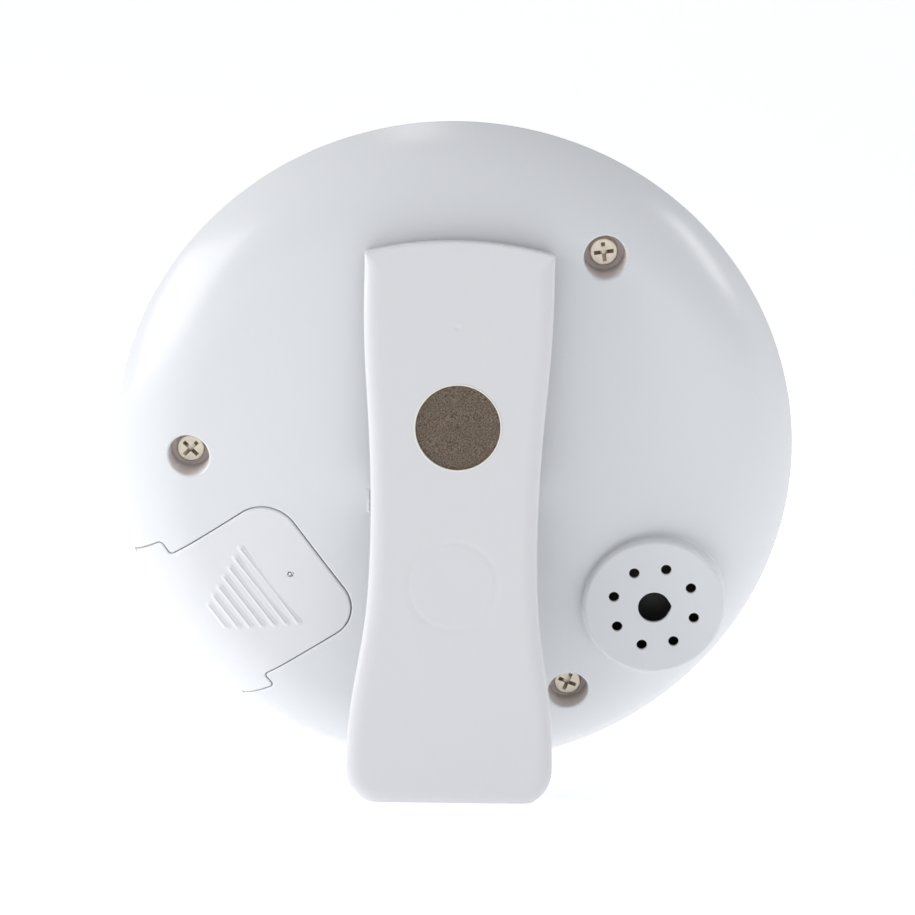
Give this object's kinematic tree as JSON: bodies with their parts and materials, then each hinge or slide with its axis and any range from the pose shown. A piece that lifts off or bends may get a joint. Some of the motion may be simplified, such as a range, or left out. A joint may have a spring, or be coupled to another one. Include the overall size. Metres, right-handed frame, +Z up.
{
  "type": "kitchen timer",
  "caption": "Round domed digital kitchen timer with a sprung magnetic clip that doubles as a stand, a sliding battery door, sounder holes, a display and push buttons.",
  "frame": {"origin": "centre of the bounding box at its base, on the surface the timer stands on", "axes": "+X to the right as seen from behind, +Y towards the side the display faces, +Z up; the timer leans back on its rim and the clip's foot"},
  "size_m": [0.08, 0.0338, 0.0775],
  "materials": {
    "white_abs": "gloss",
    "clip_abs": "gloss",
    "door_abs": "gloss",
    "button_abs": "satin",
    "clear_window": "gloss",
    "display_glass": "satin",
    "carbon_rubber": "matte",
    "silicone": "matte",
    "board_laminate": "satin",
    "black_resin": "gloss",
    "can_metal": "satin",
    "chip_part": "matte",
    "zinc_screw": "satin",
    "nickel_screw": "satin",
    "brass_disc": "satin",
    "piezo_white": "matte",
    "spring_steel": "satin",
    "cell_steel": "polished",
    "contact_metal": "satin",
    "magnet_ferrite": "matte"
  },
  "bodies": {
    "case": {"rear_cover": "white_abs", "front_cover": "white_abs", "display_window": "clear_window", "lcd_panel": "display_glass", "zebra_strip": "carbon_rubber", "circuit_board": "board_laminate", "chip_cover": "black_resin", "crystal": "can_metal", "board_components": "chip_part", "board_screws": "zinc_screw", "piezo_plate": "brass_disc", "piezo_ceramic": "piezo_white", "sounder_springs": "spring_steel", "coin_cell": "cell_steel", "contact_positive": "contact_metal", "contact_negative": "contact_metal", "case_screws": "nickel_screw", "start_dome": "silicone", "minute_dome": "silicone", "second_dome": "silicone", "clip_pin": "clip_abs", "clip_spring": "spring_steel"},
    "clip": {"clip_leaf": "clip_abs", "clip_magnet": "magnet_ferrite"},
    "door": {"battery_door": "door_abs"},
    "start_key": {"start_button": "button_abs", "start_pill": "carbon_rubber"},
    "minute_key": {"minute_button": "button_abs", "minute_pill": "carbon_rubber"},
    "second_key": {"second_button": "button_abs", "second_pill": "carbon_rubber"}
  },
  "joints": [
    {"name": "clip_pivot", "type": "hinge", "parent": "case", "child": "clip", "pos_m": [0, -0.01036, 0.03431], "axis": [1, 0, 0], "range_deg": [0, 20], "stiffness_Nm_per_rad": 0.25, "springref_deg": -34.38, "deforming": ["clip_spring"]},
    {"name": "door_slide", "type": "slide", "parent": "case", "child": "door", "axis": [-0.809, 0.1459, -0.5694], "range_m": [0, 0.024]},
    {"name": "start_press", "type": "slide", "parent": "case", "child": "start_key", "axis": [0, -0.9687, -0.2482], "range_m": [0, 0.0008], "stiffness_N_per_m": 500, "springref_m": -0.0015, "deforming": ["start_dome"]},
    {"name": "minute_press", "type": "slide", "parent": "case", "child": "minute_key", "axis": [0, -0.9687, -0.2482], "range_m": [0, 0.0008], "stiffness_N_per_m": 500, "springref_m": -0.0015, "deforming": ["minute_dome"]},
    {"name": "second_press", "type": "slide", "parent": "case", "child": "second_key", "axis": [0, -0.9687, -0.2482], "range_m": [0, 0.0008], "stiffness_N_per_m": 500, "springref_m": -0.0015, "deforming": ["second_dome"]}
  ]
}
